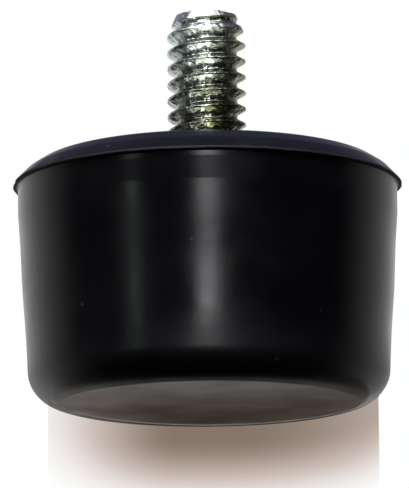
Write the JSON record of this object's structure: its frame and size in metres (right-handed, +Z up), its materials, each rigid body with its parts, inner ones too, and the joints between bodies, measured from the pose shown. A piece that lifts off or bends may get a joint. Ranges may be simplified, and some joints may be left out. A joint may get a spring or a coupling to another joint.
{
  "type": "rubber foot",
  "caption": "Round tapered rubber foot with a flat base and a sloping shoulder, moulded round the head of a threaded steel stud that stands out of its top.",
  "frame": {"origin": "centre of the flat resting face, which is the lowest face of the part", "axes": "+Z up along the stud; the part is round about Z, so X and Y are free"},
  "size_m": [0.0304, 0.0304, 0.0308],
  "materials": {
    "rubber": "compression moulded, black, satin",
    "zinc_plated_steel": "rolled thread, bright zinc plating"
  },
  "bodies": {
    "root": {"rubber_body": "rubber", "threaded_stud": "zinc_plated_steel"}
  },
  "joints": []
}
